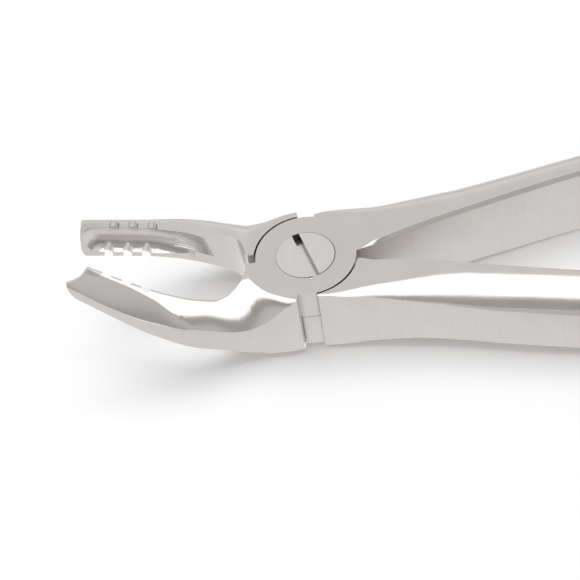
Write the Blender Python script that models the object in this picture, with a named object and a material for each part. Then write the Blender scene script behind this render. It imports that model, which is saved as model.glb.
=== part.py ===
"""Upper molar extraction forceps: two one-piece halves that cross at a screwed lap joint.

The pivot axis is Z through the origin, and the underside of the joint is at Z = 0.
The handles run towards +X and the beaks towards -X. The halves are drawn as they lie at rest,
with the beaks a little open. A profile gives a size along the distance from the pivot.
"""

import math
from dataclasses import dataclass

import bmesh
import bpy
from mathutils import Vector

MM = 0.001

# Lap joint
DISC_RADIUS = 7.8 * MM
JOINT_THICKNESS = 12.0 * MM
LAP_LEVEL = 6.5 * MM
LAP_GAP = 0.1 * MM
POCKET_CLEARANCE = 0.3 * MM
HORN_WALL = 0.95 * MM
HEEL_WALL = 0.4 * MM
DISC_SIDES = 96

# Pivot screw
HEAD_RADIUS = 4.5 * MM
HEAD_DEPTH = 2.6 * MM
HEAD_CLEARANCE = 0.08 * MM
SHANK_RADIUS = 2.7 * MM
SHANK_CLEARANCE = 0.1 * MM
SLOT_WIDTH = 1.17 * MM
SLOT_DEPTH = 1.3 * MM
SLOT_ANGLE = math.radians(107.8)
EDGE_BREAK = 0.15 * MM
SCREW_SIDES = 64

# Neck and beaks
CROTCH_WEB = 1.5 * MM
THROAT_REACH = 15.5 * MM
THROAT_HALF_GAP = 7.15 * MM
RIM_REACH = 34.0 * MM
RIM_HALF_GAP = 3.8 * MM
RIM_SLOPE = -0.31
RIM_FLAT = 0.35 * MM
BEAK_RISE = 8.8 * MM
BEAK_DEPTH = 7.5 * MM
FLOOR_EDGE = 0.35 * MM
POINT_LENGTH = 2.1 * MM
POINT_DROP = 3.45 * MM
POINT_EDGE = 0.4 * MM
POINT_TAPER = 3.4 * MM

# Hollow inside each beak
GOUGE_DEPTH = 1.4 * MM
GOUGE_START = 15.0 * MM
GOUGE_RIM = 0.7 * MM
GOUGE_BACK = 0.6 * MM
GOUGE_FADE = 6.1 * MM
GOUGE_LAND = 0.7 * MM

# Hollow-ground facet of the pointed beak
GRIND_LENGTH = 5.0 * MM
GRIND_SAG = 0.25 * MM
GRIND_BITE = 0.12 * MM
GRIND_DROP = 0.25 * MM
GRIND_SPLITS = 8

# Rim teeth
NOTCH_COUNT = 3
NOTCH_PITCH = 2.75 * MM
NOTCH_RADIUS = 0.8 * MM
NOTCH_DEPTH = 0.9 * MM
NOTCH_TILT = math.radians(19.0)
NOTCH_SIDES = 24

# Handles
GRIP_REACH = 44.0 * MM
HANDLE_LENGTH = 136.0 * MM
HANDLE_WIDTH = 6.2 * MM
PALM_SWELL = 0.8 * MM
NECK_HALF_GAP = 9.95 * MM
BUTT_HALF_GAP = 18.4 * MM
HANDLE_CROWN = 5.2 * MM
INNER_EDGE = 0.45 * MM
INNER_DROP = 0.8 * MM
UNDER_ROLL_SHARE = 0.25
CROWN_END = math.radians(42.0)
BUTT_ROUND = 6.0 * MM
BUTT_TURN = math.radians(80.0)
BUTT_FLATNESS = 0.35

# Fineness of the lofts
SHOULDER_END = 3.0 * MM
NECK_STEP = 1.0 * MM
HANDLE_STEP = 4.0 * MM
HEEL_STATIONS = 7
CROWN_SPLITS = 9
THROAT_SPLITS = 24
GOUGE_SIDES = 28
BUTT_SPLITS = 5
END_SPLITS = 8

# Room that a cutter keeps past what it cuts, merge distance and the angle of a sharp edge
OVERCUT = 2.0 * MM
WELD = 0.004 * MM
CREASE = math.radians(23.0)

BOSS_RADIUS = DISC_RADIUS + POCKET_CLEARANCE + HORN_WALL
HEEL_RADIUS = DISC_RADIUS + POCKET_CLEARANCE + HEEL_WALL
CROTCH_REACH = DISC_RADIUS + CROTCH_WEB
POINT_REACH = RIM_REACH + POINT_LENGTH
POINT_HEIGHT = JOINT_THICKNESS + BEAK_RISE - POINT_DROP
MID_HEIGHT = JOINT_THICKNESS / 2


@dataclass(frozen=True)
class Half:
    """What tells one half from the other; side is the sign of Y on the beak's side."""

    name: str
    side: int
    upper: bool
    neck_angle: float
    neck_shoulder: float
    grip_angle: float
    grip_shoulder: float
    throat_reach: float
    throat_fullness: float
    first_notch: float
    tip_gouge: float
    crown_fullness: float
    crown_from: float
    crown_to: float


PALATAL = Half(
    name="palatal_half", side=1, upper=False,
    neck_angle=math.radians(96.0), neck_shoulder=1.25 * MM,
    grip_angle=math.radians(-80.7), grip_shoulder=1.75 * MM,
    throat_reach=THROAT_REACH, throat_fullness=2.8,
    first_notch=RIM_REACH - 4.35 * MM, tip_gouge=1.0,
    crown_fullness=2.7, crown_from=0.0, crown_to=math.radians(67.0),
)
BUCCAL = Half(
    name="buccal_half", side=-1, upper=True,
    neck_angle=math.radians(101.7), neck_shoulder=0.4 * MM,
    grip_angle=math.radians(-77.5), grip_shoulder=-0.25 * MM,
    throat_reach=THROAT_REACH + 2.5 * MM, throat_fullness=2.0,
    first_notch=RIM_REACH - 3.3 * MM, tip_gouge=0.5,
    crown_fullness=2.0, crown_from=math.radians(15.0), crown_to=math.radians(55.0),
)


def profile(*knots):
    """Return a smooth curve through (distance, value) knots that never overshoots them."""
    places = [place for place, _ in knots]
    values = [value for _, value in knots]
    runs = [b - a for a, b in zip(places, places[1:])]
    slopes = [(b - a) / run for a, b, run in zip(values, values[1:], runs)]
    tangents = [slopes[0]]
    for before, after in zip(slopes, slopes[1:]):
        same_way = before * after > 0
        tangents.append(2 * before * after / (before + after) if same_way else 0.0)
    tangents.append(slopes[-1])

    def curve(place):
        if place <= places[0]:
            return values[0]
        if place >= places[-1]:
            return values[-1] + tangents[-1] * (place - places[-1])
        i = max(k for k in range(len(runs)) if places[k] <= place)
        run = runs[i]
        t = (place - places[i]) / run
        rise = (3 - 2 * t) * t * t
        start_pull = t * (1 - t) ** 2 * tangents[i] * run
        end_pull = t * t * (t - 1) * tangents[i + 1] * run
        return values[i] + (values[i + 1] - values[i]) * rise + start_pull + end_pull

    return curve


def on_beak(spans):
    """Distance from the pivot: 1 is the crotch, 2 the wide end of the throat, 3 the end of the rims."""
    marks = (0.0, CROTCH_REACH, THROAT_REACH, RIM_REACH)
    i = min(int(spans), 2)
    return marks[i] + (marks[i + 1] - marks[i]) * (spans - i)


def on_handle(spans):
    """Distance from the pivot: 1 is where the grip begins, 2 is the butt."""
    if spans < 1:
        return GRIP_REACH * spans
    return GRIP_REACH + (HANDLE_LENGTH - GRIP_REACH) * (spans - 1)


# Outer sides of the two necks and beaks
palatal_outer = profile(
    (0.0, BOSS_RADIUS), (on_beak(0.6), BOSS_RADIUS + 0.1 * MM), (on_beak(0.86), BOSS_RADIUS + 1.05 * MM),
    (on_beak(1.12), BOSS_RADIUS + 2.15 * MM), (on_beak(1.6), BOSS_RADIUS + 2.65 * MM),
    (on_beak(2.03), BOSS_RADIUS + 2.15 * MM), (on_beak(2.24), RIM_HALF_GAP + 6.4 * MM),
    (on_beak(2.46), RIM_HALF_GAP + 5.0 * MM), (on_beak(2.68), RIM_HALF_GAP + 3.7 * MM),
    (POINT_REACH, RIM_HALF_GAP + 1.4 * MM),
)
buccal_outer = profile(
    (0.0, BOSS_RADIUS + 0.1 * MM), (on_beak(0.86), BOSS_RADIUS + 0.25 * MM),
    (on_beak(1.2), BOSS_RADIUS + 0.7 * MM), (on_beak(1.76), BOSS_RADIUS + 1.1 * MM),
    (on_beak(2.19), RIM_HALF_GAP + 7.1 * MM), (on_beak(2.46), RIM_HALF_GAP + 6.2 * MM),
    (on_beak(2.78), RIM_HALF_GAP + 3.95 * MM), (POINT_REACH, RIM_HALF_GAP + 1.3 * MM),
)

# Heights of the top, of the underside, and of the edge between side panel and crown
beak_top = profile(
    (0.0, JOINT_THICKNESS), (on_beak(0.99), JOINT_THICKNESS), (on_beak(1.21), JOINT_THICKNESS - 0.75 * MM),
    (on_beak(1.52), JOINT_THICKNESS - 1.05 * MM), (on_beak(2.03), JOINT_THICKNESS + 0.4 * MM),
    (RIM_REACH, JOINT_THICKNESS + BEAK_RISE),
)
beak_floor = profile(
    (0.0, 0.0), (on_beak(0.7), 0.0), (on_beak(0.97), 0.9 * MM), (on_beak(1.76), 3.3 * MM),
    (on_beak(2.24), 6.55 * MM), (on_beak(2.73), JOINT_THICKNESS + BEAK_RISE - BEAK_DEPTH - 2.5 * MM),
    (RIM_REACH, JOINT_THICKNESS + BEAK_RISE - BEAK_DEPTH),
)
beak_edge = profile(
    (on_beak(0.2), JOINT_THICKNESS), (on_beak(0.43), JOINT_THICKNESS - 1.4 * MM),
    (on_beak(0.61), JOINT_THICKNESS - 3.1 * MM), (on_beak(0.8), JOINT_THICKNESS - 4.3 * MM),
    (on_beak(1.0), JOINT_THICKNESS - 4.9 * MM), (on_beak(1.44), JOINT_THICKNESS - 4.6 * MM),
    (on_beak(2.03), JOINT_THICKNESS - 2.8 * MM), (on_beak(2.19), JOINT_THICKNESS - 1.2 * MM),
    (on_beak(2.68), JOINT_THICKNESS + 1.4 * MM), (POINT_REACH, POINT_HEIGHT - 0.2 * MM),
)

flat_end = on_beak(1.76)


def flat_border(near, middle, end):
    """Where the neck's flat top ends and its crown begins, from three widths beside the throat."""
    return profile(
        (0.0, BOSS_RADIUS - 0.25 * MM), (on_beak(0.19), BOSS_RADIUS - 0.4 * MM),
        (on_beak(0.41), BOSS_RADIUS - 1.15 * MM), (on_beak(0.56), BOSS_RADIUS - 1.8 * MM),
        (on_beak(0.7), BOSS_RADIUS - 2.65 * MM), (on_beak(0.85), BOSS_RADIUS - 4.15 * MM),
        (CROTCH_REACH, 3.1 * MM), (on_beak(1.19), near), (on_beak(1.44), middle), (flat_end, end),
    )


flat_borders = {
    PALATAL.name: flat_border(4.3 * MM, THROAT_HALF_GAP - 0.85 * MM, THROAT_HALF_GAP + RIM_FLAT),
    BUCCAL.name: flat_border(3.6 * MM, THROAT_HALF_GAP - 1.75 * MM, THROAT_HALF_GAP - 0.5 * MM),
}

# How far the ground facet leans inwards, how deep it bites, and how full the hollow is
grind_lean = profile(
    (on_beak(2.13), math.radians(19.0)), (on_beak(2.24), math.radians(22.0)),
    (on_beak(2.41), math.radians(29.5)), (on_beak(2.52), math.radians(29.5)),
    (on_beak(2.68), math.radians(25.5)), (on_beak(2.79), math.radians(22.0)),
    (POINT_REACH, math.radians(15.0)),
)
grind_bite = profile((on_beak(2.13), -0.15 * MM), (on_beak(2.24), GRIND_BITE), (POINT_REACH, GRIND_BITE))
gouge_share = profile((GOUGE_START, -0.25), (on_beak(2.46), 1.0), (POINT_REACH, 1.0))
tip_land = profile(
    (0.0, 1.0), (RIM_REACH - 4 * GOUGE_LAND, 1.0), (RIM_REACH - 2 * GOUGE_LAND, 0.8),
    (RIM_REACH - GOUGE_LAND, 0.0), (POINT_REACH, -0.4),
)

# Handles: heel beside the joint, width, half height, and how far the crowns drop at the panel
handle_heel = profile(
    (0.0, HEEL_RADIUS), (on_handle(0.05), HEEL_RADIUS), (on_handle(0.11), HEEL_RADIUS + 0.3 * MM),
    (on_handle(0.24), HEEL_RADIUS + 0.75 * MM), (on_handle(0.45), HEEL_RADIUS + 2.6 * MM),
)
handle_width = profile(
    (0.0, HANDLE_WIDTH + 1.8 * MM), (on_handle(0.38), HANDLE_WIDTH + 1.2 * MM),
    (on_handle(0.57), HANDLE_WIDTH + 0.65 * MM), (GRIP_REACH, HANDLE_WIDTH),
    (on_handle(1.22), HANDLE_WIDTH + 0.2 * MM), (on_handle(1.5), HANDLE_WIDTH + PALM_SWELL),
    (HANDLE_LENGTH, HANDLE_WIDTH - 0.4 * MM),
)
handle_half_height = profile(
    (on_handle(0.18), MID_HEIGHT), (on_handle(0.95), MID_HEIGHT + 0.7 * MM),
    (on_handle(1.5), MID_HEIGHT + PALM_SWELL), (HANDLE_LENGTH, MID_HEIGHT - 0.4 * MM),
)
top_drop = profile(
    (on_handle(0.07), 0.1 * MM), (on_handle(0.24), 1.05 * MM), (on_handle(0.38), 1.9 * MM),
    (on_handle(0.59), 2.95 * MM), (on_handle(0.82), 3.15 * MM), (HANDLE_LENGTH, 3.0 * MM),
)
under_drop = profile(
    (on_handle(0.07), 0.0), (on_handle(0.24), 0.95 * MM), (on_handle(0.39), 1.7 * MM),
    (HANDLE_LENGTH, 1.8 * MM),
)
handle_crown = profile(
    (on_handle(0.07), 0.4 * MM), (on_handle(0.24), 2.1 * MM), (on_handle(0.59), HANDLE_CROWN - 0.3 * MM),
    (HANDLE_LENGTH, HANDLE_CROWN),
)
inner_roll = profile((on_handle(0.2), 0.0), (on_handle(0.3), INNER_DROP), (HANDLE_LENGTH, INNER_DROP))


def handle_inner(shoulder):
    """Half the gap between the handles along X, from a half's shoulder at the joint."""
    return profile(
        (DISC_RADIUS, shoulder), (on_handle(0.36), 2.75 * MM), (on_handle(0.64), 6.1 * MM),
        (GRIP_REACH, NECK_HALF_GAP), (on_handle(1.22), BUTT_HALF_GAP - 4.55 * MM),
        (on_handle(1.43), BUTT_HALF_GAP - 1.8 * MM), (on_handle(1.7), BUTT_HALF_GAP - 0.2 * MM),
        (HANDLE_LENGTH, BUTT_HALF_GAP),
    )


handle_inners = {half.name: handle_inner(half.grip_shoulder) for half in (PALATAL, BUCCAL)}


def inner_wall(half, reach):
    """Distance of a beak's inner wall from the middle plane."""
    if reach < half.throat_reach:
        share = max(0.0, min(1.0, (half.throat_reach - reach) / (half.throat_reach - CROTCH_REACH)))
        rise = (1 - share ** half.throat_fullness) ** (1 / half.throat_fullness)
        return THROAT_HALF_GAP * rise
    run = RIM_REACH - half.throat_reach
    t = (reach - half.throat_reach) / run
    bow = RIM_SLOPE * run * t * t * (t - 1)
    return THROAT_HALF_GAP + (RIM_HALF_GAP - THROAT_HALF_GAP) * (3 - 2 * t) * t * t + bow


def beak_outer(half, reach):
    """Distance of a beak's outer side from the middle plane."""
    return buccal_outer(reach) if half.upper else palatal_outer(reach)


def cut_wall(half, reach):
    """The inner wall with the taper that sharpens the point of the pointed beak."""
    wall = inner_wall(half, reach)
    share = max(0.0, (reach - POINT_REACH + POINT_TAPER) / POINT_TAPER)
    if not half.upper or share == 0.0:
        return wall
    thinned = beak_outer(half, min(reach, POINT_REACH)) - GRIND_BITE - POINT_EDGE
    return wall + (thinned - wall) * min(share, 1.0)


def spoke(half, angle):
    """Unit vector from the pivot along a shoulder; the angle counts from +X towards the half's side."""
    return Vector((math.cos(angle), half.side * math.sin(angle), 0))


def new_object(name, bm, material=None, guide=False):
    """Turn a bmesh into a named object; a guide is a cutter or a tool body that isn't a part."""
    bmesh.ops.recalc_face_normals(bm, faces=bm.faces)
    mesh = bpy.data.meshes.new(name)
    bm.to_mesh(mesh)
    bm.free()
    if material:
        mesh.materials.append(material)
    obj = bpy.data.objects.new(name, mesh)
    bpy.context.collection.objects.link(obj)
    if guide:
        obj.hide_render = True
        obj.display_type = "WIRE"
    return obj


def loft(name, rings, material=None, guide=False):
    """Skin closed rings of equal counts, one after the other, and cap both ends."""
    bm = bmesh.new()
    loops = [[bm.verts.new(point) for point in ring] for ring in rings]
    for near, far in zip(loops, loops[1:]):
        count = len(near)
        for i in range(count):
            j = (i + 1) % count
            bm.faces.new((near[i], near[j], far[j], far[i]))
    bm.faces.new(loops[0])
    bm.faces.new(loops[-1])
    return new_object(name, bm, material, guide)


def prism(name, outline, direction):
    """Extrude a flat outline of 3D points along a vector, as a cutter."""
    bm = bmesh.new()
    face = bm.faces.new([bm.verts.new(point) for point in outline])
    moved = bmesh.ops.extrude_face_region(bm, geom=[face])
    verts = [item for item in moved["geom"] if isinstance(item, bmesh.types.BMVert)]
    bmesh.ops.translate(bm, verts=verts, vec=direction)
    return new_object(name, bm, guide=True)


def drum(name, radius, low, high, sides):
    """A round tool body about the pivot axis, between two heights."""
    bm = bmesh.new()
    bmesh.ops.create_cone(
        bm, cap_ends=True, segments=sides, radius1=radius, radius2=radius, depth=high - low,
    )
    bmesh.ops.translate(bm, verts=bm.verts, vec=(0, 0, (low + high) / 2))
    return new_object(name, bm, guide=True)


def combine(target, tool, operation):
    """Put a live Boolean of one tool body on the target."""
    modifier = target.modifiers.new(tool.name, "BOOLEAN")
    modifier.operation = operation
    modifier.object = tool
    modifier.solver = "EXACT"


def steel(name, tint, roughness):
    """Satin stainless steel in a given tint."""
    material = bpy.data.materials.new(name)
    material.use_nodes = True
    shader = material.node_tree.nodes["Principled BSDF"]
    shader.inputs["Base Color"].default_value = (*tint, 1.0)
    shader.inputs["Metallic"].default_value = 1.0
    shader.inputs["Roughness"].default_value = roughness
    return material


def beak_section(half, reach):
    """Points (across, height) of the neck or beak at a distance from the pivot."""
    wall = inner_wall(half, reach)
    start = flat_borders[half.name](reach) if reach < flat_end else wall + RIM_FLAT
    inner = half.neck_shoulder
    if reach > CROTCH_REACH:
        inner = max(inner, min(start, wall) - OVERCUT / 2)
    outer = beak_outer(half, reach)
    top, floor, edge = beak_top(reach), beak_floor(reach), beak_edge(reach)
    power = 2 / half.crown_fullness
    near_sin, far_sin = math.sin(half.crown_from) ** power, math.sin(half.crown_to) ** power
    near_cos, far_cos = math.cos(half.crown_from) ** power, math.cos(half.crown_to) ** power
    points = [(inner, floor), (inner, top)]
    for k in range(CROWN_SPLITS + 1):
        roll = half.crown_from + (half.crown_to - half.crown_from) * k / CROWN_SPLITS
        across = (math.sin(roll) ** power - near_sin) / (far_sin - near_sin)
        up = (math.cos(roll) ** power - far_cos) / (near_cos - far_cos)
        points.append((start + (outer - start) * across, edge + (top - edge) * up))
    points += [(outer, floor + FLOOR_EDGE), (outer - FLOOR_EDGE, floor)]
    return points


def make_neck(half):
    """Neck and beak, from the joint's shoulder to just past the tip."""
    shoulder = spoke(half, half.neck_angle)
    inner = DISC_RADIUS / 2
    first = beak_section(half, 0.0)
    rings = [[shoulder * max(across, inner) + Vector((0, 0, z)) for across, z in first]]
    run = POINT_REACH + OVERCUT - SHOULDER_END
    steps = round(run / NECK_STEP)
    for k in range(steps + 1):
        reach = SHOULDER_END + run * k / steps
        section = beak_section(half, reach)
        rings.append([Vector((-reach, half.side * across, z)) for across, z in section])
    return loft(half.name + ".neck", rings, guide=True)


def crown_arc(outer, crown, top, panel):
    """Points (across, height) of a handle's crown, from its flat to the side panel."""
    points = []
    count = CROWN_SPLITS - 2
    for k in range(count + 1):
        roll = CROWN_END * k / count
        across = math.sin(roll) / math.sin(CROWN_END)
        down = (1 - math.cos(roll)) / (1 - math.cos(CROWN_END))
        points.append((outer - crown * (1 - across), top - (top - panel) * down))
    return points


def handle_section(half, place):
    """Points (across, height over the middle) of the handle at a place along X."""
    inner = handle_inners[half.name](place)
    blend = max(0.0, min(1.0, (place - DISC_RADIUS) / (on_handle(0.45) - DISC_RADIUS)))
    blend *= blend * (3 - 2 * blend)
    outer = handle_heel(place) * (1 - blend) + (inner + handle_width(place)) * blend
    half_height = handle_half_height(place)
    crown = min(handle_crown(place), outer - inner - 2 * INNER_EDGE)
    drop = inner_roll(place)
    under_roll = drop * UNDER_ROLL_SHARE
    points = [(inner, half_height - drop), (inner + INNER_EDGE, half_height)]
    points += crown_arc(outer, crown, half_height, half_height - top_drop(place))
    lower = crown_arc(outer, crown, half_height, half_height - under_drop(place))
    points += [(across, -height) for across, height in reversed(lower)]
    points += [(inner + under_roll, -half_height), (inner, under_roll - half_height)]
    return points


def shoulder_ring(half):
    """The handle's end at the joint: its section turned onto the shoulder's spoke."""
    section = handle_section(half, 0.0)
    low = min(across for across, _ in section)
    high = max(across for across, _ in section)
    inner = DISC_RADIUS / 2
    ring = []
    for across, height in section:
        distance = inner + (HEEL_RADIUS - inner) * (across - low) / (high - low)
        ring.append(spoke(half, half.grip_angle) * distance + Vector((0, 0, MID_HEIGHT + height)))
    return ring


def butt_rings(half, end):
    """Rings that close the handle in a rounded butt beyond its last full section."""
    rings = []
    for k in range(1, BUTT_SPLITS + 1):
        turn = BUTT_TURN * k / BUTT_SPLITS
        place = end + BUTT_ROUND * math.sin(turn)
        section = handle_section(half, place)
        centre = sum(across for across, _ in section) / len(section)
        kept = math.cos(turn)
        lift = BUTT_FLATNESS + (1 - BUTT_FLATNESS) * kept
        ring = []
        for across, height in section:
            narrowed = centre + (across - centre) * kept
            ring.append(Vector((place, -half.side * narrowed, MID_HEIGHT + height * lift)))
        rings.append(ring)
    return rings


def make_handle(half):
    """Handle, from the joint's shoulder to its rounded butt."""
    rings = [shoulder_ring(half)]
    heel_end = on_handle(0.36)
    heel = [SHOULDER_END + (heel_end - SHOULDER_END) * k / HEEL_STATIONS for k in range(HEEL_STATIONS)]
    straight = HANDLE_LENGTH - BUTT_ROUND - heel_end
    steps = round(straight / HANDLE_STEP)
    for place in heel + [heel_end + straight * k / steps for k in range(steps + 1)]:
        section = handle_section(half, place)
        rings.append([Vector((place, -half.side * across, MID_HEIGHT + h)) for across, h in section])
    rings += butt_rings(half, HANDLE_LENGTH - BUTT_ROUND)
    return loft(half.name + ".handle", rings, guide=True)


def make_throat(half):
    """Cutter that leaves the flat inner wall of neck and beak."""
    points = []
    power = 2 / half.throat_fullness
    wide_end = half.throat_reach
    for k in range(THROAT_SPLITS + 1):
        turn = math.pi / 2 * k / THROAT_SPLITS
        reach = wide_end - (wide_end - CROTCH_REACH) * math.cos(turn) ** power
        points.append((reach, THROAT_HALF_GAP * math.sin(turn) ** power))
    last = POINT_REACH + 2 * OVERCUT
    for k in range(1, THROAT_SPLITS + 1):
        reach = wide_end + (last - wide_end) * k / THROAT_SPLITS
        points.append((reach, cut_wall(half, reach)))
    points += [(last, -OVERCUT), (CROTCH_REACH, -OVERCUT)]
    outline = [Vector((-reach, half.side * across, -OVERCUT)) for reach, across in points]
    return prism(half.name + ".throat", outline, Vector((0, 0, 2 * (JOINT_THICKNESS + OVERCUT))))


def make_gouge(half):
    """Cutter for the hollow inside the beak, swept from the throat past the tip."""
    rings = []
    last = POINT_REACH + 2 * OVERCUT
    for k in range(THROAT_SPLITS + 1):
        reach = GOUGE_START + (last - GOUGE_START) * k / THROAT_SPLITS
        centre = (beak_top(reach) + beak_floor(reach)) / 2
        half_chord = (beak_top(reach) - beak_floor(reach)) / 2 - GOUGE_RIM
        near_tip = max(0.0, (reach - POINT_REACH + GOUGE_FADE) / GOUGE_FADE)
        depth = GOUGE_DEPTH * gouge_share(reach) * (1 - (1 - half.tip_gouge) * near_tip)
        if not half.upper:
            depth *= tip_land(reach)
        ring = []
        for i in range(GOUGE_SIDES):
            turn = 2 * math.pi * i / GOUGE_SIDES
            across = inner_wall(half, reach) + depth - (GOUGE_DEPTH + GOUGE_BACK) * (1 - math.cos(turn))
            ring.append(Vector((-reach, half.side * across, centre + half_chord * math.sin(turn))))
        rings.append(ring)
    return loft(half.name + ".gouge", rings, guide=True)


def bend(start, pull, end):
    """Points of a quadratic curve from start to end, drawn towards pull."""
    points = []
    for k in range(END_SPLITS + 1):
        t = k / END_SPLITS
        points.append(start.lerp(pull, t).lerp(pull.lerp(end, t), t))
    return points


def at(reach, height):
    """A point of the side view."""
    return Vector((-reach, 0, height))


def point_outline():
    """Side view of the pointed beak's end: a hollow above the point and a round heel under it."""
    shoulder = RIM_REACH - 1.7 * MM
    heel = RIM_REACH - 0.4 * MM
    point = at(POINT_REACH, POINT_HEIGHT)
    hollow = at(RIM_REACH - 0.1 * MM, POINT_HEIGHT + 0.25 * MM)
    belly = at(POINT_REACH + 0.4 * MM, POINT_HEIGHT - 2.7 * MM)
    upper = bend(at(shoulder, beak_top(shoulder)), hollow, point)
    return upper + bend(point, belly, at(heel, beak_floor(heel) - 0.1 * MM))[1:]


def blunt_outline():
    """Side view of the plain beak's end: nearly straight, with rounded corners."""
    shoulder = RIM_REACH - 1.0 * MM
    heel = RIM_REACH - 0.9 * MM
    middle = at(RIM_REACH + 0.15 * MM, (beak_top(shoulder) + beak_floor(heel)) / 2)
    corner = at(RIM_REACH - 0.1 * MM, beak_top(shoulder) - 0.9 * MM)
    belly = at(RIM_REACH + 0.75 * MM, beak_floor(heel) + 0.4 * MM)
    upper = bend(at(shoulder, beak_top(shoulder) + 0.1 * MM), corner, middle)
    return upper + bend(middle, belly, at(heel, beak_floor(heel) - 0.1 * MM))[1:]


def make_end_trim(half):
    """Cutter that gives the beak's end its outline seen from the side."""
    edge = point_outline() if half.upper else blunt_outline()
    far = POINT_REACH + 3 * OVERCUT
    ceiling = edge[0] + Vector((0, 0, 3 * OVERCUT))
    cellar = edge[-1] - Vector((0, 0, 3 * OVERCUT))
    outline = [ceiling] + edge + [cellar, at(far, cellar.z), at(far, ceiling.z)]
    width = half.side * (THROAT_HALF_GAP + 3 * OVERCUT)
    return prism(half.name + ".end", outline, Vector((0, width, 0)))


def make_grind(half):
    """Cutter for the hollow-ground facet above the ridge of the pointed beak."""
    rings = []
    first = on_beak(2.13)
    run = POINT_REACH + 2 * OVERCUT - first
    steps = round(run / NECK_STEP)
    for k in range(steps + 1):
        reach = first + run * k / steps
        lean = grind_lean(reach)
        along = Vector((0, -math.sin(lean), math.cos(lean)))
        out = Vector((0, math.cos(lean), math.sin(lean)))
        foot = Vector((-reach, beak_outer(half, reach) - grind_bite(reach), beak_edge(reach) - GRIND_DROP))
        ring = []
        for i in range(GRIND_SPLITS + 1):
            t = i / GRIND_SPLITS
            ring.append(foot + along * (GRIND_LENGTH * t) - out * (4 * GRIND_SAG * t * (1 - t)))
        above = foot + along * (2 * GRIND_LENGTH)
        below = foot - along * (OVERCUT / 2)
        ring += [above, above + out * (3 * OVERCUT), below + out * (3 * OVERCUT), below + out * (OVERCUT / 4)]
        rings.append([Vector((p.x, half.side * p.y, p.z)) for p in ring])
    return loft(half.name + ".grind", rings, guide=True)


def make_notches(half):
    """Cutters for the notches that leave the teeth on both rims of a beak."""
    bm = bmesh.new()
    for k in range(NOTCH_COUNT):
        reach = half.first_notch - k * NOTCH_PITCH
        centre = (beak_top(reach) + beak_floor(reach)) / 2
        across = inner_wall(half, reach) + NOTCH_DEPTH - NOTCH_RADIUS
        rod = bmesh.ops.create_cone(
            bm, cap_ends=True, segments=NOTCH_SIDES, radius1=NOTCH_RADIUS, radius2=NOTCH_RADIUS,
            depth=JOINT_THICKNESS,
        )
        for vert in rod["verts"]:
            x, z = vert.co.x, vert.co.z
            vert.co.x = x * math.cos(NOTCH_TILT) + z * math.sin(NOTCH_TILT) - reach
            vert.co.z = z * math.cos(NOTCH_TILT) - x * math.sin(NOTCH_TILT) + centre
            vert.co.y += half.side * across
    return new_object(half.name + ".notches", bm, guide=True)


def settle(obj):
    """Apply an object's Booleans, drop their tool bodies and shade the round faces smooth."""
    tools = [modifier.object for modifier in obj.modifiers]
    shape = obj.evaluated_get(bpy.context.evaluated_depsgraph_get())
    mesh = bpy.data.meshes.new_from_object(shape)
    obj.modifiers.clear()
    obj.data = mesh
    mesh.name = obj.name
    for tool in tools:
        bpy.data.objects.remove(tool, do_unlink=True)
    bm = bmesh.new()
    bm.from_mesh(mesh)
    bmesh.ops.remove_doubles(bm, verts=bm.verts, dist=WELD)
    bmesh.ops.triangulate(bm, faces=[face for face in bm.faces if len(face.verts) > 4])
    bmesh.ops.dissolve_degenerate(bm, edges=bm.edges, dist=WELD)
    for face in bm.faces:
        face.smooth = True
    bm.to_mesh(mesh)
    bm.free()
    mesh.set_sharp_from_angle(angle=CREASE)


def make_half(half, material):
    """One forged half: neck, handle and its disc of the lap joint, with all its cuts."""
    lap_low, lap_high = LAP_LEVEL - LAP_GAP / 2, LAP_LEVEL + LAP_GAP / 2
    above = JOINT_THICKNESS + OVERCUT
    disc_span = (lap_high, JOINT_THICKNESS) if half.upper else (0.0, lap_low)
    pocket_span = (-OVERCUT, lap_high) if half.upper else (lap_low, above)
    body = make_neck(half)
    body.name = half.name
    body.hide_render = False
    body.display_type = "TEXTURED"
    body.data.materials.append(material)
    combine(body, make_handle(half), "UNION")
    combine(body, drum(half.name + ".disc", DISC_RADIUS, *disc_span, DISC_SIDES), "UNION")
    pocket = drum(half.name + ".pocket", DISC_RADIUS + POCKET_CLEARANCE, *pocket_span, DISC_SIDES)
    combine(body, pocket, "DIFFERENCE")
    bore = drum(half.name + ".bore", SHANK_RADIUS + SHANK_CLEARANCE, -OVERCUT, above, SCREW_SIDES)
    combine(body, bore, "DIFFERENCE")
    if half.upper:
        seat_level = JOINT_THICKNESS - HEAD_DEPTH - SHANK_CLEARANCE
        seat = drum(half.name + ".seat", HEAD_RADIUS + HEAD_CLEARANCE, seat_level, above, SCREW_SIDES)
        combine(body, seat, "DIFFERENCE")
        combine(body, make_grind(half), "DIFFERENCE")
    combine(body, make_throat(half), "DIFFERENCE")
    combine(body, make_gouge(half), "DIFFERENCE")
    combine(body, make_notches(half), "DIFFERENCE")
    combine(body, make_end_trim(half), "DIFFERENCE")
    settle(body)


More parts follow.
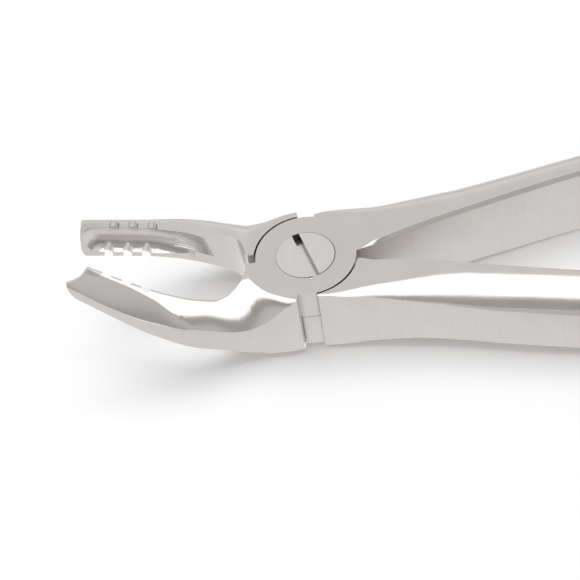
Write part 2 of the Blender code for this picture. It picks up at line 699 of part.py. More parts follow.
def make_screw(material):
    """Pivot screw with a flush slotted head; it holds in the lower disc."""
    seat = JOINT_THICKNESS - HEAD_DEPTH
    outline = [
        (0.0, JOINT_THICKNESS), (HEAD_RADIUS - EDGE_BREAK, JOINT_THICKNESS),
        (HEAD_RADIUS, JOINT_THICKNESS - EDGE_BREAK), (HEAD_RADIUS, seat), (SHANK_RADIUS, seat),
        (SHANK_RADIUS, EDGE_BREAK), (SHANK_RADIUS - EDGE_BREAK, 0.0), (0.0, 0.0),
    ]
    bm = bmesh.new()
    verts = [bm.verts.new((radius, 0, z)) for radius, z in outline]
    edges = [bm.edges.new(pair) for pair in zip(verts, verts[1:])]
    bmesh.ops.spin(
        bm, geom=verts + edges, axis=(0, 0, 1), cent=(0, 0, 0), angle=2 * math.pi,
        steps=SCREW_SIDES, use_merge=True,
    )
    bmesh.ops.remove_doubles(bm, verts=bm.verts, dist=WELD)
    screw = new_object("pivot_screw", bm, material)
    along = Vector((math.cos(SLOT_ANGLE), math.sin(SLOT_ANGLE), 0)) * (HEAD_RADIUS + OVERCUT)
    across = Vector((-math.sin(SLOT_ANGLE), math.cos(SLOT_ANGLE), 0)) * (SLOT_WIDTH / 2)
    floor = Vector((0, 0, JOINT_THICKNESS - SLOT_DEPTH))
    corners = [floor + along + across, floor - along + across, floor - along - across, floor + along - across]
    slot = prism("pivot_screw.slot", corners, Vector((0, 0, SLOT_DEPTH + OVERCUT)))
    combine(screw, slot, "DIFFERENCE")
    settle(screw)


def main():
    for obj in list(bpy.data.objects):
        bpy.data.objects.remove(obj, do_unlink=True)
    satin = steel("satin_steel", (0.57, 0.56, 0.55), 0.3)
    turned = steel("turned_steel", (0.6, 0.59, 0.58), 0.25)
    make_half(PALATAL, satin)
    make_half(BUCCAL, satin)
    make_screw(turned)


main()
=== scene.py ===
"""Looks of a pair of upper molar extraction forceps in satin stainless steel.

Each forged half is a smoothed copy of its solid, with a narrow flat along the handle's upper
edge, the milling marks in the beak's throat, the chequered grip and the stake mark beside the
screw cut into it. The screw gets its slot and its spread rim. All lengths are in metres, angles
in radians.
"""
import logging
import math
from dataclasses import dataclass
from enum import Enum
from typing import Optional

import bpy
from mathutils import Matrix, Quaternion, Vector


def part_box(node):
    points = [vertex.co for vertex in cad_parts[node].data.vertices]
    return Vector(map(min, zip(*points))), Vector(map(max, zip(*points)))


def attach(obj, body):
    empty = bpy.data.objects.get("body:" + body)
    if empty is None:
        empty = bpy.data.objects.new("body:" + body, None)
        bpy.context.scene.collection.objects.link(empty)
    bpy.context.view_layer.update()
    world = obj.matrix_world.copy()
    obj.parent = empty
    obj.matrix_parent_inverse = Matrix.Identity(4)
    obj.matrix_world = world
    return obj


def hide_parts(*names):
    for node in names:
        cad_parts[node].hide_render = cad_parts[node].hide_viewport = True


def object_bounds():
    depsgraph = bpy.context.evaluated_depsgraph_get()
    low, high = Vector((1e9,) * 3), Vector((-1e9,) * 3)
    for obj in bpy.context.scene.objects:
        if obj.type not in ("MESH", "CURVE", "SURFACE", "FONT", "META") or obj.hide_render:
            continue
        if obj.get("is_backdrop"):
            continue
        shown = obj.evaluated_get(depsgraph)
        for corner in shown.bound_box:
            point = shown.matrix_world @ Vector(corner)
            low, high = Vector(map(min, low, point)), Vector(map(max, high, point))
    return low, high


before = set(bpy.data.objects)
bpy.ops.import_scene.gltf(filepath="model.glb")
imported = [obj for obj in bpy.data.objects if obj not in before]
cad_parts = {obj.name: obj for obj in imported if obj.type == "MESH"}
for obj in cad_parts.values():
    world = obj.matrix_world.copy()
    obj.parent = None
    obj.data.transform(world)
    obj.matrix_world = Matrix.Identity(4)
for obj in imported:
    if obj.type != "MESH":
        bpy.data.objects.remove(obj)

MM = 0.001
MERGE = 0.001 * MM
FAR_OFF = 60.0 * MM
FACE_WEIGHT = 80
BYTE = 255
SRGB_KNEE = 0.04045
SRGB_SLOPE = 12.92
SRGB_OFFSET = 0.055
SRGB_POWER = 2.4
WAVE_RATE = 20    # radians that a wave texture of scale 1 turns in a metre
LOG = logging.getLogger("forceps")


class Side(Enum):
    """The side of the middle plane that a beak or a handle lies on."""

    FAR = 1
    NEAR = -1


class Cut(Enum):
    """The ways a tool body changes a piece."""

    TAKE_AWAY = "DIFFERENCE"
    ADD = "UNION"


def linear(colour: str) -> tuple[float, float, float, float]:
    """Turn an sRGB hex colour into linear light.

    Args:
        colour: six hex digits with a leading hash sign.

    Returns:
        Red, green, blue and a full alpha.
    """
    light = []
    for i in (1, 3, 5):
        part = int(colour[i:i + 2], 16) / BYTE
        if part <= SRGB_KNEE:
            light.append(part / SRGB_SLOPE)
        else:
            light.append(((part + SRGB_OFFSET) / (1 + SRGB_OFFSET)) ** SRGB_POWER)
    return (light[0], light[1], light[2], 1.0)


def add_node(tree: bpy.types.NodeTree, kind: str, links: Optional[dict] = None, **settings) -> bpy.types.Node:
    """Add a shader node with its settings and its inputs.

    Args:
        tree: the node tree it goes into.
        kind: the node's type name without the leading ShaderNode.
        links: input name or number to a value, or to the output socket that feeds it.
        settings: the node's own properties.

    Returns:
        The new node.
    """
    node = tree.nodes.new("ShaderNode" + kind)
    for name, value in settings.items():
        setattr(node, name, value)
    for key, value in (links or {}).items():
        if isinstance(value, bpy.types.NodeSocket):
            tree.links.new(value, node.inputs[key])
        else:
            node.inputs[key].default_value = value
    return node


@dataclass(frozen=True)
class BrushedSteel:
    """Martensitic stainless steel, satin finished on a fine abrasive belt.

    The eye sees a soft mirror: broad pale reflections, with hairline streaks that run up and
    down on the side faces and along the instrument on its top. A face is a side panel when its
    normal's part across passes panel_normal, and a polished flat when the normal's upward part
    lies within band_lean as well. Two tints are painted shade: the polished flat is darker, for
    the dim surroundings it mirrors, and so is the screw's seat, for the shade in that crevice.
    """

    name: str
    tint: str = "#C8C4C1"
    dull_tint: str = "#BAB6B3"
    # painted shade: the dark tint of the screw's seat
    seat_shade_tint: str = "#2B2826"
    # painted shade: the darker tint of the polished flats above the side panels
    band_shade_tint: str = "#B0ABA9"
    roughness: float = 0.2
    panel_roughness: float = 0.38
    roughness_spread: float = 0.05
    hairline: float = 0.22 * MM     # real belt lines are about 0.03 mm wide, too fine to show
    hairline_length: float = 7.0 * MM
    hairline_depth: float = 0.0035 * MM
    hairline_detail: float = 3.0
    cloud: float = 5.0 * MM
    cloud_detail: float = 2.0
    edge_round: float = 0.07 * MM
    edge_samples: int = 4
    seat_radius: float = 4.6 * MM
    panel_normal: tuple[float, float] = (0.75, 0.9)
    band_lean: tuple[float, float] = (0.05, 0.2)

    def build(self) -> bpy.types.Material:
        """Make the material.

        Returns:
            A material that reads object coordinates and the object's own normal.
        """
        material = bpy.data.materials.new(self.name)
        material.use_nodes = True
        tree = material.node_tree
        shader = tree.nodes["Principled BSDF"]
        place = add_node(tree, "TexCoord")
        thin, long = 1 / self.hairline, 1 / self.hairline_length
        across = self.streaks(tree, place, (thin, thin, long))
        along = self.streaks(tree, place, (long, thin, thin))
        facing = add_node(tree, "SeparateXYZ", {0: place.outputs["Normal"]})
        sideways = add_node(tree, "Math", {0: facing.outputs["Y"]}, operation="ABSOLUTE")
        panel = add_node(tree, "MapRange", {
            "Value": sideways.outputs[0], "From Min": self.panel_normal[0],
            "From Max": self.panel_normal[1]})
        lines = add_node(tree, "Mix", {
            "Factor": panel.outputs[0], "A": along.outputs[0], "B": across.outputs[0]}, data_type="FLOAT")
        clouds = add_node(tree, "TexNoise", {
            "Vector": place.outputs["Object"], "Scale": 1 / self.cloud, "Detail": self.cloud_detail})
        wear = add_node(tree, "Math", {0: lines.outputs[0], 1: clouds.outputs[0]}, operation="MULTIPLY")
        brushed = add_node(tree, "Mix", {
            "Factor": wear.outputs[0], "A": linear(self.tint), "B": linear(self.dull_tint)}, data_type="RGBA")
        band_shade = self.band_shade_mask(tree, facing, panel)
        # painted shade: the polished flat above each side panel gets a darker tint
        blended = add_node(tree, "Mix", {
            "Factor": band_shade.outputs[0], "A": brushed.outputs["Result"],
            "B": linear(self.band_shade_tint)}, data_type="RGBA")
        # painted shade: inside seat_radius the seat's wall is darkened as if in shade
        colour = add_node(tree, "Mix", {
            "Factor": self.seat_shade_mask(tree, place).outputs[0], "A": blended.outputs["Result"],
            "B": linear(self.seat_shade_tint)}, data_type="RGBA")
        finish = add_node(tree, "MapRange", {
            "Value": panel.outputs[0], "To Min": self.roughness, "To Max": self.panel_roughness})
        spread = add_node(tree, "MapRange", {
            "Value": lines.outputs[0], "To Min": -self.roughness_spread, "To Max": self.roughness_spread})
        gloss = add_node(tree, "Math", {0: finish.outputs[0], 1: spread.outputs[0]}, operation="ADD")
        rounded = add_node(tree, "Bevel", {"Radius": self.edge_round}, samples=self.edge_samples)
        bump = add_node(tree, "Bump", {
            "Height": lines.outputs[0], "Normal": rounded.outputs[0], "Strength": 1.0,
            "Distance": self.hairline_depth})
        tree.links.new(colour.outputs["Result"], shader.inputs["Base Color"])
        tree.links.new(gloss.outputs[0], shader.inputs["Roughness"])
        tree.links.new(bump.outputs[0], shader.inputs["Normal"])
        shader.inputs["Metallic"].default_value = 1.0
        return material

    def band_shade_mask(
            self, tree: bpy.types.NodeTree, facing: bpy.types.Node, panel: bpy.types.Node) -> bpy.types.Node:
        """Find the polished flats that lean a few degrees up from a side panel, which get painted shade.

        Args:
            tree: the material's node tree.
            facing: the parts of the normal.
            panel: the share of side panel.

        Returns:
            A node that gives 1 on such a flat and 0 elsewhere.
        """
        low, high = self.band_lean
        above = add_node(tree, "Math", {0: facing.outputs["Z"], 1: low}, operation="GREATER_THAN")
        below = add_node(tree, "Math", {0: facing.outputs["Z"], 1: high}, operation="LESS_THAN")
        leaning = add_node(tree, "Math", {0: above.outputs[0], 1: below.outputs[0]}, operation="MULTIPLY")
        return add_node(tree, "Math", {0: leaning.outputs[0], 1: panel.outputs[0]}, operation="MULTIPLY")

    def seat_shade_mask(self, tree: bpy.types.NodeTree, place: bpy.types.Node) -> bpy.types.Node:
        """Find the wall of the screw's seat, painted dark as shade in the crevice round the screw's head.

        Args:
            tree: the material's node tree.
            place: its texture coordinate node.

        Returns:
            A node that gives 1 inside the seat's radius and 0 outside it.
        """
        flat = add_node(tree, "VectorMath", {0: place.outputs["Object"], 1: (1.0, 1.0, 0.0)},
                        operation="MULTIPLY")
        off = add_node(tree, "VectorMath", {0: flat.outputs[0]}, operation="LENGTH")
        return add_node(tree, "Math", {0: off.outputs["Value"], 1: self.seat_radius}, operation="LESS_THAN")

    def streaks(self, tree: bpy.types.NodeTree, place: bpy.types.Node, scale: tuple) -> bpy.types.Node:
        """Noise drawn out into hairlines.

        Args:
            tree: the material's node tree.
            place: its texture coordinate node.
            scale: lines per metre along X, Y and Z.

        Returns:
            A noise node whose first output is the height of the lines.
        """
        stretched = add_node(tree, "VectorMath", {0: place.outputs["Object"], 1: scale}, operation="MULTIPLY")
        return add_node(tree, "TexNoise", {
            "Vector": stretched.outputs[0], "Scale": 1.0, "Detail": self.hairline_detail})


@dataclass(frozen=True)
class TurnedSteel:
    """The screw's free-machining stainless steel, faced on a lathe.

    The eye sees a slightly brighter disc than the forgings, with faint rings about its middle and
    painted shade on the walls of its slot: every wall is tinted darker. A face is a wall when its
    normal's upward part is under wall_normal.
    """

    name: str
    tint: str = "#CFCBC8"
    slot_shade_tint: str = "#6E6865"
    roughness: float = 0.2
    roughness_spread: tuple[float, float] = (-0.02, 0.03)
    ring_radian: float = 0.3 * MM    # rings 1.9 mm apart; real ones of 0.05 mm are too fine to show
    ring_depth: float = 0.002 * MM
    ring_wobble: float = 0.4
    ring_detail: float = 1.0
    wall_normal: float = 0.5

    def build(self) -> bpy.types.Material:
        """Make the material.

        Returns:
            A material with rings about the pivot axis.
        """
        material = bpy.data.materials.new(self.name)
        material.use_nodes = True
        tree = material.node_tree
        shader = tree.nodes["Principled BSDF"]
        place = add_node(tree, "TexCoord")
        rings = add_node(tree, "TexWave", {
            "Vector": place.outputs["Object"], "Scale": 1 / (WAVE_RATE * self.ring_radian),
            "Distortion": self.ring_wobble, "Detail": self.ring_detail},
            wave_type="RINGS", rings_direction="Z")
        smooth, rough = self.roughness_spread
        gloss = add_node(tree, "MapRange", {
            "Value": rings.outputs["Fac"], "To Min": self.roughness + smooth,
            "To Max": self.roughness + rough})
        bump = add_node(tree, "Bump", {
            "Height": rings.outputs["Fac"], "Strength": 1.0, "Distance": self.ring_depth})
        facing = add_node(tree, "SeparateXYZ", {0: place.outputs["Normal"]})
        # painted shade: faces steeper than wall_normal, the slot's walls among them, get a darker tint
        wall = add_node(tree, "Math", {0: facing.outputs["Z"], 1: self.wall_normal}, operation="LESS_THAN")
        colour = add_node(tree, "Mix", {
            "Factor": wall.outputs[0], "A": linear(self.tint), "B": linear(self.slot_shade_tint)}, data_type="RGBA")
        tree.links.new(colour.outputs["Result"], shader.inputs["Base Color"])
        tree.links.new(gloss.outputs[0], shader.inputs["Roughness"])
        tree.links.new(bump.outputs[0], shader.inputs["Normal"])
        shader.inputs["Metallic"].default_value = 1.0
        return material


@dataclass(frozen=True)
class MattPaper:
    """White background paper, matt coated.

    The eye sees plain white that takes a soft shadow. The steel sees painted light: for its
    reflections the paper glows, as a painted pool brightest near the forceps under the soft box and
    greyer further towards the room.
    """

    name: str = "paper_matt_coated"
    tint: str = "#E6E6E6"
    mirrored_near: float = 1.14
    mirrored_far: float = 0.86
    near: float = 20.0 * MM
    far: float = 36.0 * MM

    def build(self) -> bpy.types.Material:
        """Make the material.

        Returns:
            A matt white material.
        """
        material = bpy.data.materials.new(self.name)
        material.use_nodes = True
        tree = material.node_tree
        shader = tree.nodes["Principled BSDF"]
        shader.inputs["Base Color"].default_value = linear(self.tint)
        shader.inputs["Roughness"].default_value = 1.0
        shader.inputs["Specular IOR Level"].default_value = 0.0
        place = add_node(tree, "TexCoord")
        across = add_node(tree, "SeparateXYZ", {0: place.outputs["Object"]})
        off = add_node(tree, "Math", {0: across.outputs["Y"]}, operation="ABSOLUTE")
        light = add_node(tree, "MapRange", {
            "Value": off.outputs[0], "From Min": self.near, "From Max": self.far,
            "To Min": self.mirrored_near, "To Max": self.mirrored_far})
        # painted light: glossy rays see the paper glow, brighter near the middle line than further out
        painted_glow = add_node(tree, "Emission", {"Strength": light.outputs[0]})
        rays = add_node(tree, "LightPath")
        both = add_node(tree, "MixShader", {
            0: rays.outputs["Is Glossy Ray"], 1: shader.outputs[0], 2: painted_glow.outputs[0]})
        tree.links.new(both.outputs[0], tree.nodes["Material Output"].inputs["Surface"])
        return material


def activate(*objects: bpy.types.Object) -> None:
    """Select just these objects, the first one active.

    Args:
        objects: what the next operator works on.
    """
    bpy.ops.object.select_all(action="DESELECT")
    for obj in objects:
        obj.select_set(True)
    bpy.context.view_layer.objects.active = objects[0]


def apply_modifier(obj: bpy.types.Object, kind: str, **settings) -> None:
    """Put a modifier on an object and apply it.

    Args:
        obj: the object that it changes.
        kind: the modifier's type.
        settings: the modifier's properties.
    """
    activate(obj)
    modifier = obj.modifiers.new(kind.lower(), kind)
    for name, value in settings.items():
        setattr(modifier, name, value)
    bpy.ops.object.modifier_apply(modifier=modifier.name)


def boolean(obj: bpy.types.Object, tool: bpy.types.Object, cut: Cut) -> None:
    """Cut an object with a tool body, or join the two, and delete the tool.

    Args:
        obj: the piece.
        tool: the tool body.
        cut: what happens.
    """
    apply_modifier(obj, "BOOLEAN", operation=cut.value, object=tool, solver="EXACT")
    bpy.data.objects.remove(tool, do_unlink=True)


def merged_copy(node: str, name: str) -> bpy.types.Object:
    """Copy a node's mesh with its loose triangles merged.

    Args:
        node: the node's name.
        name: the new piece's name.

    Returns:
        The new piece, at the origin.
    """
    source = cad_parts[node]
    piece = bpy.data.objects.new(name, source.data.copy())
    bpy.context.scene.collection.objects.link(piece)
    activate(piece)
    bpy.ops.object.mode_set(mode="EDIT")
    bpy.ops.mesh.select_all(action="SELECT")
    bpy.ops.mesh.remove_doubles(threshold=MERGE)
    bpy.ops.mesh.mark_sharp(clear=True)
    bpy.ops.object.mode_set(mode="OBJECT")
    bpy.ops.mesh.customdata_custom_splitnormals_clear()
    piece.data.materials.clear()
    return piece


def dress(piece: bpy.types.Object, steel: bpy.types.Material, crease: float) -> None:
    """Give a piece its one material, and smooth shading that keeps its edges crisp.

    Args:
        piece: the piece.
        steel: its material.
        crease: the angle past which an edge stays sharp.
    """
    piece.data.materials.clear()
    piece.data.materials.append(steel)
    activate(piece)
    bpy.ops.object.shade_smooth_by_angle(angle=crease)
    apply_modifier(piece, "WEIGHTED_NORMAL", keep_sharp=True, weight=FACE_WEIGHT)


def meet_outer_face(solid: bpy.types.Object, side: Side, x: float, height: float) -> tuple:
    """Look at a handle's outer face from its own side.

    Args:
        solid: the node that carries the handle.
        side: the handle's side.
        x: the place along it.
        height: the height of the look.

    Returns:
        Whether something was met, the place and its normal.
    """
    eye = Vector((x, side.value * FAR_OFF, height))
    return solid.ray_cast(eye, Vector((0.0, -side.value, 0.0)))[:3]


def close_tool(tool: bpy.types.Object) -> bpy.types.Object:
    """Merge a tool body's doubles and turn its faces outwards.

    Args:
        tool: the tool body.

    Returns:
        The same tool body, closed.
    """
    activate(tool)
    bpy.ops.object.mode_set(mode="EDIT")
    bpy.ops.mesh.select_all(action="SELECT")
    bpy.ops.mesh.remove_doubles(threshold=MERGE)
    bpy.ops.mesh.normals_make_consistent(inside=False)
    bpy.ops.object.mode_set(mode="OBJECT")
    return tool


def groove_tool(paths: list[list[Vector]], radius: float) -> bpy.types.Object:
    """Make one tool body of a family of grooves with a square section set on its corner.

    Args:
        paths: the points of each groove's centre line, on or near the surface.
        radius: half the groove's width.

    Returns:
        A mesh of closed rods.
    """
    curve = bpy.data.curves.new("groove_tool", "CURVE")
    curve.dimensions = "3D"
    curve.bevel_depth = radius
    curve.bevel_resolution = 0
    curve.use_fill_caps = True
    for path in paths:
        spline = curve.splines.new("POLY")
        spline.points.add(len(path) - 1)
        for point, place in zip(spline.points, path):
            point.co = (*place, 1.0)
    tool = bpy.data.objects.new("groove_tool", curve)
    bpy.context.scene.collection.objects.link(tool)
    activate(tool)
    bpy.ops.object.convert(target="MESH")
    return close_tool(tool)


@dataclass
class ThroatMarks:
    """Milling marks where the cutter that hollowed a beak ran out towards the joint.

    Each mark's ends are given by their distance from the pivot and their height. A mark bows
    upwards, and fades out at both ends.
    """

    count: int = 10
    radius: float = 0.15 * MM
    first_start: tuple[float, float] = (21.0 * MM, 13.4 * MM)
    first_end: tuple[float, float] = (15.6 * MM, 10.1 * MM)
    last_start: tuple[float, float] = (20.8 * MM, 9.2 * MM)
    last_end: tuple[float, float] = (14.8 * MM, 6.0 * MM)
    bow: float = 0.35 * MM
    end_lift: float = 0.7
    end_rate: float = 6.0
    points: int = 12

    def paths(self, solid: bpy.types.Object, side: Side) -> list[list[Vector]]:
        """Lay the marks on a beak's inner wall.

        Args:
            solid: the node that carries the wall.
            side: the beak's side.

        Returns:
            One list of points for each mark.
        """
        marks = []
        for i in range(self.count):
            share = i / (self.count - 1)
            start = [a + (b - a) * share for a, b in zip(self.first_start, self.last_start)]
            end = [a + (b - a) * share for a, b in zip(self.first_end, self.last_end)]
            mark = []
            for k in range(self.points + 1):
                t = k / self.points
                reach = start[0] + (end[0] - start[0]) * t
                arch = 4 * self.bow * t * (1 - t)
                height = start[1] + (end[1] - start[1]) * t + arch
                eye = Vector((-reach, 0.0, height))
                hit, place, _, _ = solid.ray_cast(eye, Vector((0.0, side.value, 0.0)))
                if hit:
                    lift = self.radius * self.end_lift * (1 - min(1.0, self.end_rate * min(t, 1 - t)))
                    mark.append(place - Vector((0.0, side.value * lift, 0.0)))
            marks.append(mark)
        return marks


@dataclass
class EdgeBand:
    """The narrow flat that blends a handle's crown into its side panel.

    It widens with the distance from its start, and closes again at its end. The tool body is
    drawn at stations along the handle, with its foot just outside the panel.
    """

    start: float = 8.0 * MM
    end: float = 54.0 * MM
    stations: int = 184
    widening: float = 0.085
    closing: float = 0.35
    lean: float = math.radians(4.5)
    above: float = 1.5 * MM
    outside: float = 3.0 * MM
    overcut: float = 0.02 * MM
    search_from: float = 12.6 * MM
    search_step: float = 0.02 * MM
    upright: float = 0.2

    def crease(self, solid: bpy.types.Object, side: Side, x: float) -> float:
        """Find the panel's upper edge at one place along a handle.

        Args:
            solid: the node that carries the handle.
            side: the handle's side.
            x: the place along it.

        Returns:
            The edge's height.
        """
        height = self.search_from
        while height > 0:
            hit, _, normal = meet_outer_face(solid, side, x, height)
            if hit and abs(normal.z) < self.upright:
                return height
            height -= self.search_step
        raise ValueError(f"no side panel at x = {x}")

    def tool(self, solid: bpy.types.Object, side: Side) -> bpy.types.Object:
        """Make the body that grinds the flat.

        Args:
            solid: the node that carries the handle.
            side: the handle's side.

        Returns:
            A closed tool body.
        """
        points, faces = [], []
        for i in range(self.stations + 1):
            x = self.start + (self.end - self.start) * i / self.stations
            top = self.crease(solid, side, x)
            foot = top - min(self.widening * (x - self.start), self.closing * (self.end - x))
            face = meet_outer_face(solid, side, x, foot)[1].y
            head = top + self.above
            near = face + side.value * self.overcut
            inner = face - side.value * math.tan(self.lean) * (head - foot)
            out = face + side.value * self.outside
            ring = ((near, foot), (inner, head), (out, head), (out, foot))
            points += [(x, y, z) for y, z in ring]
        corners = len(ring)
        for i in range(self.stations):
            for k in range(corners):
                a, b = corners * i + k, corners * i + (k + 1) % corners
                faces.append((a, b, b + corners, a + corners))
        last = corners * self.stations
        faces += [tuple(range(corners)), tuple(last + k for k in reversed(range(corners)))]
        mesh = bpy.data.meshes.new("band_tool")
        mesh.from_pydata(points, [], faces)
        tool = bpy.data.objects.new("band_tool", mesh)
        bpy.context.scene.collection.objects.link(tool)
        return close_tool(tool)


@dataclass
class GripPattern:
    """Chequered grooves that give the hand a hold on a handle's outer face.

    The two sets of grooves are lifted off the face by different amounts, so that no two edges
    meet exactly.
    """

    start: float = 55.0 * MM
    end: float = 126.0 * MM
    pitch: float = 2.1 * MM
    radius: float = 0.32 * MM
    middle: float = 6.2 * MM
    half_height: float = 3.6 * MM
    lifts: tuple[float, float] = (0.031 * MM, 0.047 * MM)
    points: int = 8

    def paths(self, solid: bpy.types.Object, side: Side, lean: int) -> list[list[Vector]]:
        """Lay one of the two sets of slanted grooves on a handle's outer face.

        Args:
            solid: the node that carries the face.
            side: the handle's side.
            lean: 1 for grooves that climb towards the butt, -1 for the others.

        Returns:
            One list of points for each groove.
        """
        grooves = []
        run = 2 * self.half_height
        lift = self.lifts[0] if lean > 0 else self.lifts[1]
        count = int((self.end - self.start - run) / self.pitch)
        for i in range(count + 1):
            foot = self.start + i * self.pitch
            groove = []
            for k in range(self.points + 1):
                t = k / self.points
                x = foot + run * (t if lean > 0 else 1 - t)
                z = self.middle + self.half_height * (2 * t - 1)
                hit, place, _ = meet_outer_face(solid, side, x, z)
                if hit:
                    groove.append(place + Vector((0.0, side.value * lift, 0.0)))
            grooves.append(groove)
        return grooves


@dataclass
class ForgedHalf:
    """One half of the forceps: beak, neck, disc of the lap joint and handle in one forging."""

    node: str
    body: str
    beak: Side
    handle: Side
    staked: bool = False
    crease: float = math.radians(23.0)
    stake_place: tuple[float, float] = (0.62 * MM, -4.75 * MM)
    stake_radius: float = 0.3 * MM
    stake_depth: float = 0.26 * MM
    stake_segments: int = 24
    stake_rings: int = 16

    def build(self, steel: bpy.types.Material) -> bpy.types.Object:
        """Make the piece and dress it.

        Args:
            steel: its material.

        Returns:
            The finished piece.
        """
        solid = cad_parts[self.node]
        piece = merged_copy(self.node, self.node + "_finished")
        boolean(piece, EdgeBand().tool(solid, self.handle), Cut.TAKE_AWAY)
        marks = ThroatMarks()
        boolean(piece, groove_tool(marks.paths(solid, self.beak), marks.radius), Cut.TAKE_AWAY)
        grip = GripPattern()
        for lean in (1, -1):
            paths = grip.paths(solid, self.handle, lean)
            boolean(piece, groove_tool(paths, grip.radius), Cut.TAKE_AWAY)
        if self.staked:
            boolean(piece, self.stake_tool(), Cut.TAKE_AWAY)
        dress(piece, steel, self.crease)
        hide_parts(self.node)
        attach(piece, self.body)
        return piece

    def stake_tool(self) -> bpy.types.Object:
        """The punch that dents the disc beside the screw so that it can't turn out.

        Returns:
            A round-nosed tool body.
        """
        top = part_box("pivot_screw")[1].z
        x, y = self.stake_place
        height = top + self.stake_radius - self.stake_depth
        bpy.ops.object.select_all(action="DESELECT")
        bpy.ops.mesh.primitive_uv_sphere_add(
            segments=self.stake_segments, ring_count=self.stake_rings,
            radius=self.stake_radius, location=(x, y, height))
        return bpy.context.active_object


@dataclass
class PivotScrew:
    """The slotted screw that the two halves turn on."""

    node: str = "pivot_screw"
    body: str = "palatal"
    crease: float = math.radians(30.0)
    collar_radius: float = 4.52 * MM
    collar_depth: float = 0.4 * MM
    collar_offset: tuple[float, float] = (-0.04 * MM, 0.03 * MM)
    collar_vertices: int = 128
    slot_width: float = 1.17 * MM
    slot_depth: float = 1.3 * MM
    slot_angle: float = math.radians(107.8)

    def build(self, steel: bpy.types.Material) -> bpy.types.Object:
        """Make the piece and dress it.

        Args:
            steel: its material.

        Returns:
            The finished piece.
        """
        piece = merged_copy(self.node, self.node + "_finished")
        boolean(piece, self.collar(), Cut.ADD)
        boolean(piece, self.slot_tool(), Cut.TAKE_AWAY)
        dress(piece, steel, self.crease)
        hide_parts(self.node)
        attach(piece, self.body)
        return piece

    def collar(self) -> bpy.types.Object:
        """The head's rim, spread into its seat when the screw was staked.

        It sits a hair off centre, so its gap shows as a dark line on one side only.

        Returns:
            A disc, flush with the head's top.
        """
        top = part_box(self.node)[1].z
        x, y = self.collar_offset
        bpy.ops.object.select_all(action="DESELECT")
        bpy.ops.mesh.primitive_cylinder_add(
            vertices=self.collar_vertices, radius=self.collar_radius, depth=self.collar_depth,
            location=(x, y, top - self.collar_depth / 2))
        return bpy.context.active_object

    def slot_tool(self) -> bpy.types.Object:
        """The saw that cuts the driver's slot.

        Returns:
            A bar as wide and as deep as the slot, and longer than the head.
        """
        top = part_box(self.node)[1].z
        bpy.ops.object.select_all(action="DESELECT")
        bpy.ops.mesh.primitive_cube_add(size=1.0, location=(0.0, 0.0, top))
        bar = bpy.context.active_object
        length = 3 * self.collar_radius
        size = Matrix.Diagonal((length, self.slot_width, 2 * self.slot_depth, 1.0))
        bar.data.transform(Matrix.Rotation(self.slot_angle, 4, "Z") @ size)
        return bar


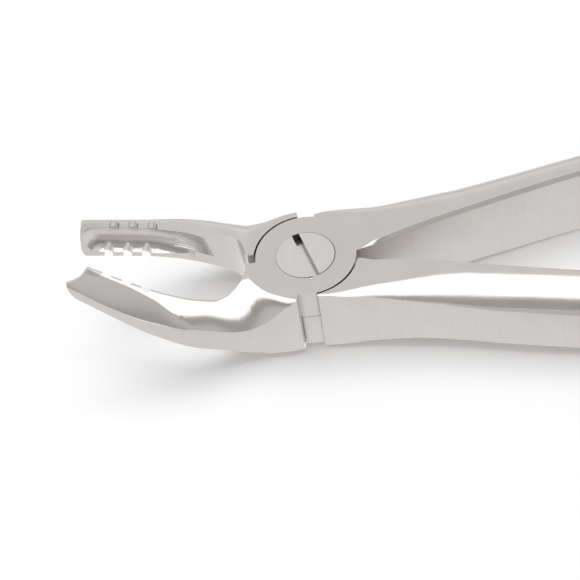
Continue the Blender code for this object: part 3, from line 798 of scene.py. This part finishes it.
@dataclass
class Studio:
    """White paper, soft box and grey card for the steel, key light for the shadows, and the camera.

    Angles of the box, the card and the key run from straight up, positive towards the camera.
    """

    floor_size: float = 8.0
    heading: float = math.radians(-6.0)
    distance: float = 0.62
    box_from: float = math.radians(-25.0)
    box_to: float = math.radians(46.0)
    box_width: float = 2.6
    box_light: float = 2.2
    card_from: float = math.radians(48.0)
    card_to: float = math.radians(91.0)
    card_width: float = 3.0
    card_light: tuple[float, float] = (0.5, 0.84)
    card_fade: tuple[float, float] = (0.5, 0.8)
    key_from: float = math.radians(-34.0)
    key_to: float = math.radians(8.0)
    key_width: float = 0.5
    key_light: float = 3.0
    ambient: float = 0.85
    back_light: tuple[float, float] = (1.16, 0.95)
    back_height: float = 0.75
    eye: tuple[float, float, float] = (15.163 * MM, -211.492 * MM, 255.343 * MM)
    aim: tuple[float, float, float] = (-3.185 * MM, -1.583 * MM, 6.0 * MM)
    roll: float = math.radians(-10.262)
    lens: float = 130.574
    near_clip: float = 10.0 * MM

    def build(self) -> None:
        """Put up the whole studio."""
        self.make_floor()
        self.make_world()
        self.make_card("soft_box", self.box_from, self.box_to, self.box_width, (self.box_light,) * 2)
        self.make_card("grey_card", self.card_from, self.card_to, self.card_width, self.card_light)
        self.make_key()
        self.make_camera()

    def make_floor(self) -> None:
        """Lay the paper under the lowest point of the forceps."""
        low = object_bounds()[0].z
        bpy.ops.object.select_all(action="DESELECT")
        bpy.ops.mesh.primitive_plane_add(size=self.floor_size, location=(0.0, 0.0, low))
        floor = bpy.context.active_object
        floor.name = "paper_floor"
        floor.data.materials.append(MattPaper().build())
        floor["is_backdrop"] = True

    def make_world(self) -> None:
        """White surroundings for the eye and for reflections, dimmer ones for the soft light."""
        world = bpy.data.worlds.new("white_studio")
        bpy.context.scene.world = world
        world.use_nodes = True
        tree = world.node_tree
        shader = tree.nodes["Background"]
        rays = add_node(tree, "LightPath")
        way = add_node(tree, "TexCoord")
        up = add_node(tree, "SeparateXYZ", {0: way.outputs["Generated"]})
        wall = add_node(tree, "MapRange", {
            "Value": up.outputs["Z"], "From Max": self.back_height,
            "To Min": self.back_light[0], "To Max": self.back_light[1]})
        seen = add_node(tree, "Mix", {
            "Factor": rays.outputs["Is Glossy Ray"], "A": 1.0, "B": wall.outputs[0]}, data_type="FLOAT")
        strength = add_node(tree, "Mix", {
            "Factor": rays.outputs["Is Diffuse Ray"], "A": seen.outputs[0], "B": self.ambient},
            data_type="FLOAT")
        tree.links.new(strength.outputs[0], shader.inputs["Strength"])
        shader.inputs["Color"].default_value = (1.0, 1.0, 1.0, 1.0)

    def panel_frame(self, start: float, end: float) -> tuple[Matrix, float]:
        """Place a flat panel that spans two angles from straight up towards the camera.

        Args:
            start: the angle of one edge.
            end: the angle of the other edge.

        Returns:
            The panel's matrix, with its local Y from start to end, and its size along Y.
        """
        middle = (start + end) / 2
        out = Vector((0.0, -math.sin(middle), math.cos(middle)))
        turn = Matrix.Rotation(self.heading, 4, "Z")
        along = Vector((0.0, -math.cos(middle), -math.sin(middle)))
        right = along.cross(out)
        basis = Matrix((right, along, out)).transposed().to_4x4()
        basis.translation = out * self.distance
        return turn @ basis, 2 * self.distance * math.tan((end - start) / 2)

    def make_card(
            self, name: str, start: float, end: float, width: float, light: tuple[float, float]) -> None:
        """Hang a glowing card that only the steel reflects.

        Args:
            name: the card's name.
            start: the angle of its upper edge.
            end: the angle of its lower edge.
            width: its size across.
            light: its brightness at the upper and at the lower edge.
        """
        matrix, depth = self.panel_frame(start, end)
        bpy.ops.object.select_all(action="DESELECT")
        bpy.ops.mesh.primitive_plane_add(size=1.0)
        card = bpy.context.active_object
        card.name = name
        card.data.transform(matrix @ Matrix.Diagonal((width, depth, 1.0, 1.0)))
        material = bpy.data.materials.new(name + "_glow")
        material.use_nodes = True
        tree = material.node_tree
        tree.nodes.clear()
        place = add_node(tree, "TexCoord")
        across = add_node(tree, "SeparateXYZ", {0: place.outputs["UV"]})
        strength = add_node(tree, "MapRange", {
            "Value": across.outputs["Y"], "From Min": self.card_fade[0], "From Max": self.card_fade[1],
            "To Min": light[0], "To Max": light[1]})
        glow = add_node(tree, "Emission", {"Strength": strength.outputs[0]})
        add_node(tree, "OutputMaterial", {"Surface": glow.outputs[0]})
        card.data.materials.append(material)
        card.visible_camera = False
        card.visible_diffuse = False
        card.visible_shadow = False
        card.visible_transmission = False
        card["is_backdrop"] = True

    def make_key(self) -> None:
        """Hang the key light behind the forceps, so that their shadow falls towards the camera."""
        matrix, depth = self.panel_frame(self.key_from, self.key_to)
        lamp = bpy.data.lights.new("key", "AREA")
        lamp.shape = "RECTANGLE"
        lamp.size = self.key_width
        lamp.size_y = depth
        lamp.energy = self.key_light * math.pi * self.key_width * depth
        holder = bpy.data.objects.new("key", lamp)
        bpy.context.scene.collection.objects.link(holder)
        holder.matrix_world = matrix
        holder.visible_glossy = False

    def make_camera(self) -> None:
        """Set the camera at the photograph's angle."""
        data = bpy.data.cameras.new("camera")
        data.lens = self.lens
        data.clip_start = self.near_clip
        camera = bpy.data.objects.new("camera", data)
        bpy.context.scene.collection.objects.link(camera)
        eye, aim = Vector(self.eye), Vector(self.aim)
        look = (aim - eye).to_track_quat("-Z", "Y")
        camera.rotation_mode = "QUATERNION"
        camera.rotation_quaternion = look @ Quaternion((0.0, 0.0, 1.0), self.roll)
        camera.location = eye
        bpy.context.scene.camera = camera
        bpy.context.scene.view_settings.view_transform = "Standard"


def main() -> None:
    """Build the forceps and the studio."""
    logging.basicConfig(level=logging.INFO, format="%(message)s")
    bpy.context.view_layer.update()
    steel = BrushedSteel("stainless_steel_belt_satin").build()
    turned = TurnedSteel("stainless_steel_turned").build()
    halves = (
        ForgedHalf("palatal_half", "palatal", Side.FAR, Side.NEAR),
        ForgedHalf("buccal_half", "buccal", Side.NEAR, Side.FAR, staked=True),
    )
    for half in halves:
        piece = half.build(steel)
        LOG.info("%s: %d faces", piece.name, len(piece.data.polygons))
    screw = PivotScrew().build(turned)
    LOG.info("%s: %d faces", screw.name, len(screw.data.polygons))
    Studio().build()


if __name__ == "__main__":
    main()
